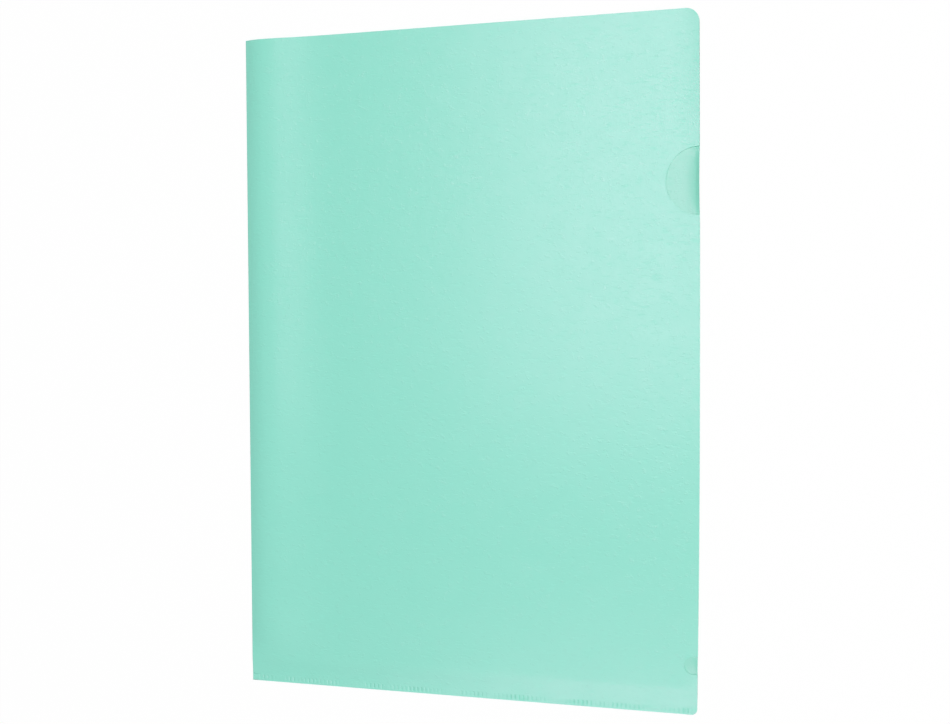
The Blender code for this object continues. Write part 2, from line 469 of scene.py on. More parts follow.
@dataclass(frozen=True)
class Wiring:
    """A node tree, with short ways to add nodes and wire them up."""

    tree: bpy.types.NodeTree

    @classmethod
    def emptied(cls, owner: bpy.types.ID) -> "Wiring":
        """Clears the nodes of a material or a world.

        Args:
            owner: the material or the world.

        Returns:
            The wiring of its empty tree.
        """
        owner.use_nodes = True
        owner.node_tree.nodes.clear()
        return cls(owner.node_tree)

    def add(self, kind: str, inputs: Inputs | None = None, **settings: object) -> bpy.types.Node:
        """Adds a node.

        Args:
            kind: the node's type.
            inputs: what its sockets get, by name or number: a socket to link, or a plain value.
            settings: the node's own settings, which decide what sockets it has.

        Returns:
            The node.
        """
        node = self.tree.nodes.new(kind)
        for name, value in settings.items():
            setattr(node, name, value)
        for key, value in (inputs or {}).items():
            if isinstance(value, Socket):
                self.tree.links.new(value, node.inputs[key])
            else:
                node.inputs[key].default_value = value
        return node

    def maths(self, operation: str, *values: Value) -> Socket:
        """Adds a sum of sockets or plain values and returns its result."""
        return self.add("ShaderNodeMath", dict(enumerate(values)), operation=operation).outputs["Value"]

    def vector(self, x: Value = 0.0, y: Value = 0.0, z: Value = 0.0) -> Socket:
        """Adds a vector of sockets or plain values and returns it."""
        return self.add("ShaderNodeCombineXYZ", {"X": x, "Y": y, "Z": z}).outputs["Vector"]

    def graded(self, value: Socket, source: tuple[Value, Value], target: tuple[Value, Value],
               smooth: bool = True) -> Socket:
        """Carries a value over from one range to another.

        Args:
            value: the value.
            source: the ends of the range that it comes from.
            target: the ends of the range that it goes to and stays in.
            smooth: True eases it in and out, False keeps it in proportion.

        Returns:
            The value in its new range.
        """
        ends = {"From Min": source[0], "From Max": source[1], "To Min": target[0], "To Max": target[1]}
        way = "SMOOTHSTEP" if smooth else "LINEAR"
        node = self.add("ShaderNodeMapRange", {"Value": value, **ends}, interpolation_type=way)
        return node.outputs["Result"]

    def mixed(self, share: Value, first: bpy.types.Node, second: bpy.types.Node, output: str) -> None:
        """Mixes two shaders into the tree's output.

        Args:
            share: how much of the second shader there is.
            first: the first shader.
            second: the second shader.
            output: the output's type.
        """
        mix = self.add("ShaderNodeMixShader", {"Fac": share, 1: first.outputs[0], 2: second.outputs[0]})
        self.add(output, {"Surface": mix.outputs["Shader"]})


@dataclass(frozen=True)
class Grain:
    """One kind of fine mark in the film: its size, the noise levels in which it sets in, and its lift."""

    length: float
    height: float
    low: float
    high: float
    lift: float


@dataclass(frozen=True)
class FilmFinish:
    """Milky polypropylene film: frosted, softly glossy, with the fine dashes of an embossing roll."""

    name: str
    # The two tones between which the film is clouded, and the painted shade that a pressed tick's groove
    # multiplies them by.
    tone: Colour
    pale: Colour
    press_and_shade: Colour = (0.84, 0.93, 0.90)
    cloud_scale: float = 55
    cloud_detail: float = 3
    # The shine, its tint, and the share of the light that glows through from behind.
    roughness: float = 0.26
    refraction: float = 1.49
    gloss: float = 0.7
    tint: Colour = (1.0, 0.50, 0.76)
    glow: float = 0.10
    ripple: float = 7 * MM
    ripple_depth: float = 0.04 * MM
    # The fine marks, and how much they change the gloss, the tone and the height.
    detail: float = 2
    sparkle: float = 0.32
    shading: float = 0.05
    grain_depth: float = 0.015 * MM
    grains: tuple[Grain, ...] = (
        Grain(3.4 * MM, 1.15 * MM, 0.57, 0.67, -0.9),
        Grain(1.8 * MM, 1.5 * MM, 0.61, 0.68, 1.5),
        Grain(10 * MM, 9 * MM, 0.40, 0.65, 0.3),
    )

    def material(self) -> bpy.types.Material:
        """Builds the film's material on the piece's own coordinates.

        Returns:
            The material, glossy and a little translucent.
        """
        material = bpy.data.materials.new(self.name)
        nodes = Wiring.emptied(material)
        coords = nodes.add("ShaderNodeTexCoord").outputs["Object"]
        marks = self.marks(nodes, coords)
        colour = self.colour(nodes, coords, marks)
        glosses = (self.gloss * (1 - self.sparkle), self.gloss * (1 + self.sparkle))
        look = {
            "Base Color": colour,
            "Roughness": self.roughness,
            "IOR": self.refraction,
            "Specular IOR Level": nodes.graded(marks, (-1, 1), glosses, smooth=False),
            "Specular Tint": (*self.tint, 1),
            "Normal": self.normal(nodes, coords, marks),
        }
        film = nodes.add("ShaderNodeBsdfPrincipled", look)
        milk = nodes.add("ShaderNodeBsdfTranslucent", {"Color": colour})
        nodes.mixed(self.glow, film, milk, "ShaderNodeOutputMaterial")
        return material

    def marks(self, nodes: Wiring, coords: Socket) -> Socket:
        """Scatters the film's fine marks.

        Args:
            nodes: the material's nodes.
            coords: the piece's own coordinates.

        Returns:
            Above 0 on a raised, shinier mark, below 0 in a dull one and 0 on the plain film.
        """
        found = []
        for grain in self.grains:
            size = (1 / grain.length, 1 / grain.height, 1 / grain.length)
            place = nodes.add("ShaderNodeMapping", {"Vector": coords, "Scale": size}).outputs["Vector"]
            noise = nodes.add("ShaderNodeTexNoise", {"Vector": place, "Scale": 1, "Detail": self.detail})
            found.append(nodes.graded(noise.outputs["Fac"], (grain.low, grain.high), (0, grain.lift)))
        total = found[0]
        for mark in found[1:]:
            total = nodes.maths("ADD", total, mark)
        return total

    def colour(self, nodes: Wiring, coords: Socket, marks: Socket) -> Socket:
        """Colours the film in faint clouds, darkened with painted shade where the weld's ticks are pressed
        in.

        Args:
            nodes: the material's nodes.
            coords: the piece's own coordinates.
            marks: the film's fine marks.

        Returns:
            The colour.
        """
        noise = {"Vector": coords, "Scale": self.cloud_scale, "Detail": self.cloud_detail}
        cloud = nodes.add("ShaderNodeTexNoise", noise).outputs["Fac"]
        share = nodes.maths("MULTIPLY_ADD", marks, self.shading, cloud)
        tones = {"Factor": share, "A": (*self.tone, 1), "B": (*self.pale, 1)}
        tone = nodes.add("ShaderNodeMix", tones, data_type="RGBA").outputs["Result"]
        # Painted shade: a deeper colour is multiplied in to darken the pressed ticks' grooves.
        ticks = nodes.add("ShaderNodeAttribute", attribute_name=TICK_SHADE).outputs["Fac"]
        tones = {"Factor": ticks, "A": tone, "B": (*self.press_and_shade, 1)}
        return nodes.add("ShaderNodeMix", tones, data_type="RGBA", blend_type="MULTIPLY").outputs["Result"]

    def normal(self, nodes: Wiring, coords: Socket, marks: Socket) -> Socket:
        """Ripples the film's face and sets its fine marks in relief.

        Args:
            nodes: the material's nodes.
            coords: the piece's own coordinates.
            marks: the film's fine marks.

        Returns:
            The direction that the face looks in.
        """
        noise = {"Vector": coords, "Scale": 1 / self.ripple, "Detail": self.detail}
        wave = nodes.add("ShaderNodeTexNoise", noise).outputs["Fac"]
        ripple = nodes.add("ShaderNodeBump", {"Distance": self.ripple_depth, "Height": wave})
        relief = {"Distance": self.grain_depth, "Height": marks, "Normal": ripple.outputs["Normal"]}
        return nodes.add("ShaderNodeBump", relief).outputs["Normal"]


class ToneAndShade(Enum):
    """The film's three tones: the front, the weld, and the rear film by itself, made darker with painted
    shade.
    """

    FRONT = FilmFinish("tinted_film", (0.276, 0.795, 0.641), (0.285, 0.807, 0.653))
    FUSED = FilmFinish("fused_film", (0.278, 0.797, 0.643), (0.287, 0.809, 0.655))
    # Painted shade: the rear film is the same film as the front, made a few percent darker.
    REAR = FilmFinish("rear_film", (0.260, 0.755, 0.597), (0.268, 0.766, 0.607))


@dataclass
class RearFilm:
    """The rear sheet and the crease that turns it over into the front one."""

    page: Page
    # The open side bows up, and its edge rolls and leans up further where the front film's cuts free it.
    bow: float = 0.57 * MM
    bow_start: float = 175 * MM
    bow_width: float = 32 * MM
    bow_run_in: float = 20 * MM
    roll: float = 0.4 * MM
    roll_width: float = 2.0 * MM
    lean: float = 0.95 * MM
    lean_width: float = 8.5 * MM
    # Each cut's middle up the page and half its height, and the half height from which the edge rises fully.
    cuts: tuple[tuple[float, float], ...] = ((234.5 * MM, 14.7 * MM), (22 * MM, 4 * MM))
    full_reach: float = 12 * MM
    crease_length: float = 1.6 * MM
    crease_steps: int = 16
    # The net's columns: wide ones on the page, closer ones beside the open edge and the closest in the cuts.
    margin: float = 10 * MM
    columns: int = 20
    edge_band: tuple[float, float] = (7 * MM, 0.7 * MM)
    edge_columns: int = 8
    cut_pitch: float = 0.35 * MM
    cut_columns: range = range(3, 26)
    cut_rows: int = 28

    def rise(self, u: float, v: float) -> float:
        """Finds how much the open side bows up, with its edge rolled up where the front film's cuts free it.

        Args:
            u: distance from the fold.
            v: distance from the bottom edge.

        Returns:
            The height that this adds.
        """
        bow = smoothstep((u - self.bow_start) / self.bow_width)
        bow *= smoothstep((v - self.page.weld) / self.bow_run_in)
        edge = clamp((u - self.page.width + self.roll_width) / self.roll_width)
        lean = clamp((u - self.page.width + self.lean_width) / self.lean_width)
        rise = self.bow * bow
        for middle, reach in self.cuts:
            free = math.sqrt(clamp(1 - ((v - middle) / reach) ** 2)) * min(1.0, reach / self.full_reach)
            rise += free * (self.roll * edge * edge + self.lean * lean * lean)
        return rise

    def face(self, q: float, v: float, depth: float) -> Vector:
        """Finds a point of the film.

        Args:
            q: distance across the flattened film from the crease, below 0 in the crease itself.
            v: distance from the bottom edge.
            depth: distance from the film's outer face.

        Returns:
            The point in the frame.
        """
        page = self.page
        radius = page.fold_radius(v)
        if q >= 0:
            return page.place(radius + q, v, depth + self.rise(radius + q, v))
        turn = math.pi - page.fold_slope(v)
        angle = -math.pi / 2 + turn * q / self.crease_length
        reach = radius - depth
        return page.place(radius + reach * math.cos(angle), v, radius + reach * math.sin(angle))

    def build(self) -> bpy.types.Object:
        """Builds the sheet and the crease in one.

        Returns:
            The piece.
        """
        page = self.page
        rows = page.rows()
        edge = [(page.width, v) for v in rows if v < page.height - page.top_corner]
        edge += page.rounded_corner()
        edge = [(u - page.fold_radius(v), v) for u, v in edge]
        outline = Outline([*edge, *[(0.0, v) for v in reversed(rows)]])
        across = spread(self.margin, page.width - self.margin, self.columns)
        across += spread(page.width - self.edge_band[0], page.width - self.edge_band[1], self.edge_columns)
        inside = outline.kept([(u, v) for u in across for v in rows], Clear.REAR)
        for middle, reach in self.cuts:
            for v in spread(middle - reach, middle + reach, self.cut_rows):
                inside += [(page.width - self.cut_pitch * step, v) for step in self.cut_columns]
        sheet = Net.filled(outline, inside)
        steps = spread(-self.crease_length, 0, self.crease_steps)
        crease = Net.ruled([[(q, v) for v in rows] for q in steps])
        return crease.joined(sheet).solid(
            "rear_film",
            lambda q, v: self.face(q, v, page.film),
            lambda q, v: self.face(q, v, 0),
        )

    def dress(self, obj: bpy.types.Object, material: bpy.types.Material) -> None:
        """Gives the piece its material, its body and the nodes that it stands for.

        Args:
            obj: the piece.
            material: the rear film's material, darkened with painted shade.
        """
        obj.data.materials.append(material)
        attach(obj, "folder")
        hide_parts("rear_sheet", "spine_fold")


@dataclass(frozen=True)
class Piece:
    """A piece of the front film: its name, what it bends between and the nodes that it stands for."""

    name: str
    bodies: tuple[str, str]
    nodes: tuple[str, ...]


@dataclass
class FrontFilm:
    """The front sheet, whose free corner bends up about lines parallel to the page's diagonal."""

    page: Page
    thumb_radius: float = 15 * MM
    thumb_drop: float = 75 * MM
    thumb_steps: int = 44
    relief_radius: float = 4 * MM
    relief_depth: float = 6 * MM
    relief_rise: float = 22 * MM
    relief_steps: int = 20
    # The cut edges curl up, in a net of rings, and so does the open edge towards the free corner.
    curl: float = 0.03 * MM
    curl_width: float = 1.6 * MM
    curl_shares: tuple[float, ...] = (0.15, 0.3, 0.5, 0.7, 1.0)
    ring_steps: int = 52
    slot_steps: int = 4
    lift: float = 0.7 * MM
    lift_width: float = 12 * MM
    lift_start: float = 130 * MM
    lift_shares: tuple[float, ...] = (0.1, 0.22, 0.36, 0.52, 0.72, 1.0)
    lift_rows: int = 45
    # Columns beside the fold, closest at the crease, and columns on the rest of the page.
    swell_steps: int = 26
    swell_grading: float = 1.5
    held_columns: int = 26
    # Rows along the bend lines, how far the page's own points keep from them, and rows on the free tip.
    bend_steps: int = 8
    bend_columns: int = 110
    bend_gap: float = 1.5 * MM
    tip_band: tuple[float, float] = (6 * MM, 60 * MM)
    tip_steps: int = 9
    pieces: tuple[Piece, ...] = (
        Piece("front_film", ("folder", "flap_1"), ("front_sheet", "fold_rise", "fold_fall", "fold_foot")),
        Piece("lifting_strip_1", ("flap_1", "flap_2"), ("flap_strip_1",)),
        Piece("lifting_strip_2", ("flap_2", "flap_3"), ("flap_strip_2",)),
        Piece("lifting_strip_3", ("flap_3", "flap_4"), ("flap_strip_3",)),
        Piece("lifting_strip_4", ("flap_4", "flap_5"), ("flap_strip_4",)),
        Piece("lifting_corner", ("flap_5", "flap_tip"), ("flap_strip_5", "flap_corner")),
    )

    @property
    def across(self) -> Point:
        """Direction on the page square to the bend lines."""
        length = math.hypot(self.page.width, self.page.height)
        return (self.page.height / length, self.page.width / length)

    @property
    def thumb_centre(self) -> Point:
        """Middle of the thumb cut's half circle."""
        return (self.page.width, self.page.height - self.thumb_drop)

    @property
    def relief_centre(self) -> Point:
        """Middle of the relief cut's round end."""
        return (self.page.width - self.relief_depth + self.relief_radius, self.relief_rise)

    def bends(self) -> list[float]:
        """Finds the bend lines from the joints.

        Returns:
            Their distances from the page's diagonal.
        """
        found = []
        for joint in sorted(frame["joints"], key=lambda joint: joint["name"]):
            found.append(joint["pos_m"][0] * self.across[0] + joint["pos_m"][1] * self.across[1])
        return found

    def seams(self) -> list[float]:
        """Finds where the pieces meet, halfway between bend lines.

        Returns:
            The seams' distances from the page's diagonal, and those of the outer ends.
        """
        bends = self.bends()
        middles = [(a + b) / 2 for a, b in zip(bends, bends[1:])]
        return [2 * bends[0] - middles[0], *middles, 2 * bends[-1] - middles[-1]]

    def corner_distance(self, distance: float) -> float:
        """Turns a distance from the page's diagonal into one from the page's bottom left corner."""
        return distance + (self.page.width * self.across[0] + self.page.height * self.across[1]) / 2

    def open_edge(self) -> list[Point]:
        """Draws the right and top edges, with the relief cut, the thumb cut and the rounded corner.

        Returns:
            The edge's points, from the weld up.
        """
        page = self.page
        edge = [(page.width, page.weld), (page.width, self.relief_rise - self.relief_radius)]
        edge += arc(self.relief_centre, self.relief_radius, 270, 90, self.relief_steps)
        edge += [(page.width, self.relief_rise + self.relief_radius)]
        edge += arc(self.thumb_centre, self.thumb_radius, 270, 90, self.thumb_steps)
        return edge + page.rounded_corner()

    def cut_distance(self, u: float, v: float) -> float:
        """Finds how far a place on the film is from the nearest of the two cuts.

        Args:
            u: distance from the fold.
            v: distance from the bottom edge.

        Returns:
            The distance, 0 in a cut.
        """
        thumb = math.dist((u, v), self.thumb_centre) - self.thumb_radius
        cut = self.relief_centre
        relief = math.dist((min(u, cut[0]), v), cut) - self.relief_radius
        return max(0.0, min(thumb, relief))

    def face(self, u: float, v: float, depth: float) -> Vector:
        """Finds a point of the film, whose open edge and cut edges curl up a little.

        Args:
            u: distance from the fold.
            v: distance from the bottom edge.
            depth: distance from the film's inner face.

        Returns:
            The point in the frame.
        """
        page = self.page
        near = clamp(1 - self.cut_distance(u, v) / self.curl_width)
        edge = clamp(1 - (page.width - u) / self.lift_width)
        free = smoothstep((v - self.lift_start) / (page.height - self.lift_start))
        rise = self.curl * near * near + self.lift * free * edge * edge
        return page.place(u, v, page.underside(u, v) + rise + depth)

    def clear_of_cuts(self, points: list[Point]) -> list[Point]:
        """The points that lie beyond the curl of the cut edges."""
        return [point for point in points if self.cut_distance(*point) > self.curl_width]

    def edge_points(self, outline: Outline) -> list[Point]:
        """Sets out points beside the open edge, close enough for its curl.

        Args:
            outline: the piece's outline.

        Returns:
            The points that lie clear of the outline and of the cuts.
        """
        columns = [self.page.width - self.lift_width * share for share in self.lift_shares]
        rows = spread(self.lift_start, self.page.height, self.lift_rows)
        return self.clear_of_cuts(outline.kept([(u, v) for u in columns for v in rows], Clear.LIFT))

    def curl_points(self, outline: Outline) -> list[Point]:
        """Sets out points round the two cuts, close enough for the curl of their edges.

        Args:
            outline: the piece's outline.

        Returns:
            The points that lie clear of the outline.
        """
        points = []
        for share in self.curl_shares:
            gap = self.curl_width * share
            points += arc(self.thumb_centre, self.thumb_radius + gap, 270, 90, self.ring_steps)
            points += arc(self.relief_centre, self.relief_radius + gap, 270, 90, self.relief_steps)
            for u in spread(self.relief_centre[0], self.page.width, self.slot_steps)[1:-1]:
                points += [(u, self.relief_rise + side * (self.relief_radius + gap)) for side in (-1, 1)]
        return outline.kept(points, Clear.CURL)

    def bend_points(self, outline: Outline, near: float, far: float, steps: int) -> list[Point]:
        """Sets out points in rows along the bend lines.

        Args:
            outline: the piece's outline.
            near: the first row's distance from the page's diagonal.
            far: the last row's distance.
            steps: how many steps there are from row to row.

        Returns:
            The points that lie clear of the outline.
        """
        ax, ay = self.across
        points = []
        for distance in spread(self.corner_distance(near), self.corner_distance(far), steps):
            for along in spread(-self.page.height, self.page.height, self.bend_columns):
                points.append((distance * ax + along * ay, distance * ay - along * ax))
        return outline.kept(points, Clear.BEND)

    def with_edges(self, outline: Outline, inside: list[Point]) -> list[Point]:
        """Takes the points beside the cuts out, and puts those in that the curled edges need."""
        return self.clear_of_cuts(inside) + self.curl_points(outline) + self.edge_points(outline)

    def held_net(self, edge: list[Point], seam: float, bend_start: float) -> Net:
        """Nets the part that the fold and the weld hold down.

        Args:
            edge: the film's open edge.
            seam: distance from the diagonal at which the next piece starts.
            bend_start: distance from the diagonal at which the film starts to bend.

        Returns:
            The net, ruled beside the fold and filled elsewhere.
        """
        page = self.page
        rows = page.rows()
        columns = []
        for share in spread(0, 1, self.swell_steps):
            graded = share ** self.swell_grading
            column = [(page.fold_seam(v) + (page.swell_end - page.fold_seam(v)) * graded, v) for v in rows]
            columns.append(column)
        whole = Outline([*edge, *[(page.swell_end, v) for v in reversed(rows)]])
        outline = whole.clipped(self.across, self.corner_distance(seam), False).divided(Rim.STILL)
        ax, ay = self.across
        limit = self.corner_distance(bend_start) - self.bend_gap
        wide = spread(page.swell_end, page.width, self.held_columns)[1:-1]
        inside = outline.kept([(u, v) for u in wide for v in rows if u * ax + v * ay < limit], Clear.HELD)
        inside = self.with_edges(outline, inside)
        inside += self.bend_points(outline, bend_start, seam, self.bend_steps)
        return Net.ruled(columns).joined(Net.filled(outline, inside))

    def lifting_net(self, whole: Outline, near: float, far: float, last: bool) -> Net:
        """Nets a part that bends up.

        Args:
            whole: the outline of all that lies beyond the swelling.
            near: distance from the diagonal at which the part starts.
            far: distance from the diagonal at which its bend ends.
            last: True for the free corner, which goes on beyond its bend.

        Returns:
            The net.
        """
        outline = whole.clipped(self.across, self.corner_distance(near), True)
        if not last:
            outline = outline.clipped(self.across, self.corner_distance(far), False)
        outline = outline.divided(Rim.BENDING)
        inside = self.bend_points(outline, near, far, self.bend_steps)
        if last:
            first, end = self.tip_band
            inside += self.bend_points(outline, far + first, far + end, self.tip_steps)
        return Net.filled(outline, self.with_edges(outline, inside))

    def build(self) -> list[bpy.types.Object]:
        """Builds the film's six pieces.

        Returns:
            The pieces, from the fold to the free corner.
        """
        page = self.page
        edge = self.open_edge()
        seams = self.seams()
        whole = Outline([*edge, (page.swell_end, page.height), (page.swell_end, page.weld)])
        nets = [self.held_net(edge, seams[1], seams[0])]
        for number in range(1, len(self.pieces)):
            last = number == len(self.pieces) - 1
            nets.append(self.lifting_net(whole, seams[number], seams[number + 1], last))
        made = []
        for piece, net in zip(self.pieces, nets):
            obj = net.solid(
                piece.name,
                lambda u, v: self.face(u, v, page.film),
                lambda u, v: self.face(u, v, 0),
            )
            made.append(obj)
        return made

    def dress(self, objs: list[bpy.types.Object], material: bpy.types.Material) -> None:
        """Gives the pieces their material and the nodes they stand for, and bakes in their placement.

        Args:
            objs: the pieces.
            material: the front film's material.
        """
        for number, (piece, obj) in enumerate(zip(self.pieces, objs)):
            obj.data.materials.append(material)
            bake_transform(obj)
            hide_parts(*piece.nodes)


@dataclass
class WeldStrip:
    """The strip where both films are fused, printed with a row of upright ticks by a serrated bar."""

    page: Page
    tick_pitch: float = 2.0 * MM
    tick_width: float = 1.1 * MM
    tick_height: float = 2.5 * MM
    tick_depth: float = 0.18 * MM
    tick_margin: float = 4 * MM
    tick_seed: float = 3.0
    taper: float = 0.09 * MM
    # The net's columns for each tick, its rows, its columns in the crease and its steps round the corner.
    tick_columns: int = 12
    rows: int = 13
    crease_shares: tuple[float, ...] = (0.04, 0.15, 0.35, 0.65, 1.0)
    corner_steps: int = 10
    # How unevenly the bar pressed, in the ticks' depth and in their painted shade: the noise along the weld,
    # and the share of the depth that it stands for.
    wear_scale: float = 60
    wear_detail: float = 2
    wear_levels: tuple[float, float] = (0.44, 0.6)
    press_shares: tuple[float, float] = (0.06, 1.0)
    # A face that looks up more than this takes the ticks.
    upper_face: float = 0.5

    def plain(self) -> bpy.types.Object:
        """Builds the strip without its ticks, with the crease pressed flat at its left end.

        Returns:
            The strip.
        """
        page = self.page
        corner = (page.width - page.bottom_corner, page.bottom_corner)
        points = [(0.0, page.weld), (0.0, 0.0)]
        points += arc(corner, page.bottom_corner, 270, 360, self.corner_steps)
        points += [(page.width, page.weld)]
        outline = Outline(points).divided(Rim.STILL)
        across = [page.film * share for share in self.crease_shares]
        columns = round(page.width / self.tick_pitch * self.tick_columns)
        across += spread(0, page.width, columns)[2:-1]
        up = spread(0, page.weld, self.rows)[1:-1]
        inside = [(u, v) for u in across for v in up if outline.holds((u, v), Clear.WELD) or u < page.film]
        net = Net.filled(outline, inside)
        return net.solid("weld_strip", lambda u, v: self.face(u, v, 1), lambda u, v: self.face(u, v, -1))

    def face(self, u: float, v: float, side: int) -> Vector:
        """Finds a point of the strip, whose upper face comes down towards the bottom edge.

        Args:
            u: distance from the fold.
            v: distance from the bottom edge.
            side: 1 for the upper face, -1 for the lower one.

        Returns:
            The point in the frame.
        """
        film = self.page.film
        half = film - self.taper * clamp(1 - v / self.page.weld) if side > 0 else film
        back = max(0.0, 1 - u / film)
        return self.page.place(u, v, film + side * half * math.sqrt(1 - back * back))

    def comb(self, nodes: Wiring, given: Sockets) -> Socket:
        """Lays out the middle lines of the ticks.

        Args:
            nodes: the tree's nodes.
            given: the tree's inputs.

        Returns:
            The lines, shorter than the ticks by their round ends.
        """
        row = {
            "Count": given["Count"],
            "Start Location": nodes.vector(given["First"], given["Middle"]),
            "Offset": nodes.vector(given["Pitch"]),
        }
        points = nodes.add("GeometryNodeMeshLine", row).outputs["Mesh"]
        half = nodes.maths("MULTIPLY", nodes.maths("SUBTRACT", given["Height"], given["Width"]), 0.5)
        stroke = {
            "Count": 2,
            "Start Location": nodes.vector(y=nodes.maths("MULTIPLY", half, -1.0)),
            "Offset": nodes.vector(y=half),
        }
        line = nodes.add("GeometryNodeMeshLine", stroke, mode="END_POINTS").outputs["Mesh"]
        teeth = nodes.add("GeometryNodeInstanceOnPoints", {"Points": points, "Instance": line})
        lines = nodes.add("GeometryNodeRealizeInstances", {"Geometry": teeth.outputs["Instances"]})
        return lines.outputs["Geometry"]

    def press_and_shade(self, nodes: Wiring, given: Sockets) -> Socket:
        """Works out how deep each place is pressed, unevenly along the weld, for the ticks' dents and for
        their painted shade.

        Args:
            nodes: the tree's nodes.
            given: the tree's inputs.

        Returns:
            0 between the ticks, and up to 1 on a tick's middle line.
        """
        position = nodes.add("GeometryNodeInputPosition").outputs["Position"]
        place = nodes.add("ShaderNodeSeparateXYZ", {"Vector": position}).outputs
        level = nodes.vector(place["X"], place["Y"])
        target = {"Geometry": self.comb(nodes, given), "Sample Position": level}
        near = nodes.add("GeometryNodeProximity", target, target_element="EDGES").outputs["Distance"]
        dent = nodes.graded(near, (0, nodes.maths("MULTIPLY", given["Width"], 0.5)), (1, 0))
        noise = {
            "Vector": nodes.vector(place["X"]),
            "W": given["Seed"],
            "Scale": self.wear_scale,
            "Detail": self.wear_detail,
        }
        wear = nodes.add("ShaderNodeTexNoise", noise, noise_dimensions="4D").outputs["Fac"]
        press = nodes.graded(wear, self.wear_levels, self.press_shares, smooth=False)
        return nodes.maths("MULTIPLY", press, dent)

    def ticks(self) -> bpy.types.NodeTree:
        """Builds the node tree that prints the ticks into the strip's upper face, and stores where their
        painted shade goes.

        Returns:
            The tree, with the ticks' sizes and the strip's material as its inputs.
        """
        tree = bpy.data.node_groups.new("weld_ticks", "GeometryNodeTree")
        face = tree.interface
        face.new_socket("Strip", in_out="INPUT", socket_type="NodeSocketGeometry")
        for name in ("Pitch", "Width", "Height", "Depth", "First", "Middle", "Seed"):
            face.new_socket(name, in_out="INPUT", socket_type="NodeSocketFloat")
        face.new_socket("Count", in_out="INPUT", socket_type="NodeSocketInt")
        face.new_socket("Material", in_out="INPUT", socket_type="NodeSocketMaterial")
        face.new_socket("Strip", in_out="OUTPUT", socket_type="NodeSocketGeometry")
        nodes = Wiring(tree)
        given = nodes.add("NodeGroupInput").outputs
        mark = self.press_and_shade(nodes, given)
        # The press is stored as the mask of the ticks' painted shade.
        note = {"Geometry": given["Strip"], "Name": TICK_SHADE, "Value": mark}
        noted = nodes.add("GeometryNodeStoreNamedAttribute", note).outputs["Geometry"]
        normal = nodes.add("GeometryNodeInputNormal").outputs["Normal"]
        upwards = nodes.add("ShaderNodeSeparateXYZ", {"Vector": normal}).outputs["Z"]
        drop = nodes.maths("MULTIPLY", nodes.maths("MULTIPLY", given["Depth"], mark), -1.0)
        move = {
            "Geometry": noted,
            "Selection": nodes.maths("GREATER_THAN", upwards, self.upper_face),
            "Offset": nodes.vector(z=drop),
        }
        printed = nodes.add("GeometryNodeSetPosition", move).outputs["Geometry"]
        whole = nodes.add("GeometryNodeRealizeInstances", {"Geometry": printed}).outputs["Geometry"]
        dressed = nodes.add("GeometryNodeSetMaterial", {"Geometry": whole, "Material": given["Material"]})
        nodes.add("NodeGroupOutput", {"Strip": dressed.outputs["Geometry"]})
        return tree

    def build(self, material: bpy.types.Material) -> bpy.types.Object:
        """Builds the strip and prints its ticks.

        Args:
            material: the fused film's material.

        Returns:
            The piece as a plain mesh.
        """
        page = self.page
        strip = self.plain()
        count = int((page.width - 2 * self.tick_margin) / self.tick_pitch) + 1
        tree = self.ticks()
        modifier = strip.modifiers.new("ticks", "NODES")
        modifier.node_group = tree
        sizes = {
            "Pitch": self.tick_pitch,
            "Width": self.tick_width,
            "Height": self.tick_height,
            "Depth": self.tick_depth,
            "First": -(count - 1) * self.tick_pitch / 2,
            "Middle": (page.weld - page.height) / 2,
            "Seed": self.tick_seed,
            "Count": count,
            "Material": material,
        }
        for socket in tree.interface.items_tree:
            if socket.in_out == "INPUT" and socket.name in sizes:
                modifier[socket.identifier] = sizes[socket.name]
        bpy.context.view_layer.update()
        evaluated = strip.evaluated_get(bpy.context.evaluated_depsgraph_get())
        printed = bpy.data.meshes.new_from_object(evaluated)
        strip.modifiers.clear()
        strip.data = printed
        printed.name = "weld_strip"
        printed.shade_smooth()
        printed.set_sharp_from_angle(angle=math.radians(Sharp.TICK.value))
        return strip

    def dress(self, obj: bpy.types.Object) -> None:
        """Gives the strip its body and the node that it stands for.

        Args:
            obj: the strip, which has its material from its ticks.
        """
        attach(obj, "folder")
        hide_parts("bottom_weld")


@dataclass(frozen=True)
class SoftBox:
    """A rectangular studio lamp."""

    name: str
    place: tuple[float, float, float]
    aim: tuple[float, float, float]
    size: tuple[float, float]
    radiance: float

    def build(self) -> None:
        """Hangs the lamp up, with its watts worked out from how bright its face is."""
        lamp = bpy.data.lights.new(self.name, "AREA")
        lamp.shape = "RECTANGLE"
        lamp.size, lamp.size_y = self.size
        lamp.energy = self.radiance * math.pi * self.size[0] * self.size[1]
        obj = bpy.data.objects.new(self.name, lamp)
        obj.location = self.place
        direction = Vector(self.aim) - Vector(self.place)
        obj.rotation_euler = direction.to_track_quat("-Z", "Y").to_euler()
        obj.visible_camera = False
        bpy.context.scene.collection.objects.link(obj)


@dataclass(frozen=True)
class PhotoView:
    """The photograph's camera, as a turn and an offset from the middle of the page."""

    focal_pixels: float = 1489
    image_width: float = 950
    sensor: float = 36
    clip: tuple[float, float] = (0.01, 50)
    turn: tuple[float, float, float] = (0.0282, -0.3311, 0.00675)
    offset: tuple[float, float, float] = (-0.0056, -0.0005, -0.6864)

    def build(self, height: float) -> None:
        """Sets the camera up.

        Args:
            height: the front film's height, which the offset is measured from.
        """
        data = bpy.data.cameras.new("photo_view")
        data.sensor_width = self.sensor
        data.lens = self.focal_pixels / self.image_width * self.sensor
        data.clip_start, data.clip_end = self.clip
        turn = Matrix.Rotation(self.turn[2], 3, "Z")
        turn = turn @ Matrix.Rotation(self.turn[0], 3, "X")
        turn = turn @ Matrix.Rotation(self.turn[1], 3, "Y")
        obj = bpy.data.objects.new("photo_view", data)
        place = turn.transposed() @ -Vector(self.offset) + Vector((0, 0, height))
        obj.matrix_world = Matrix.Translation(place) @ turn.transposed().to_4x4()
        bpy.context.scene.collection.objects.link(obj)
        bpy.context.scene.camera = obj


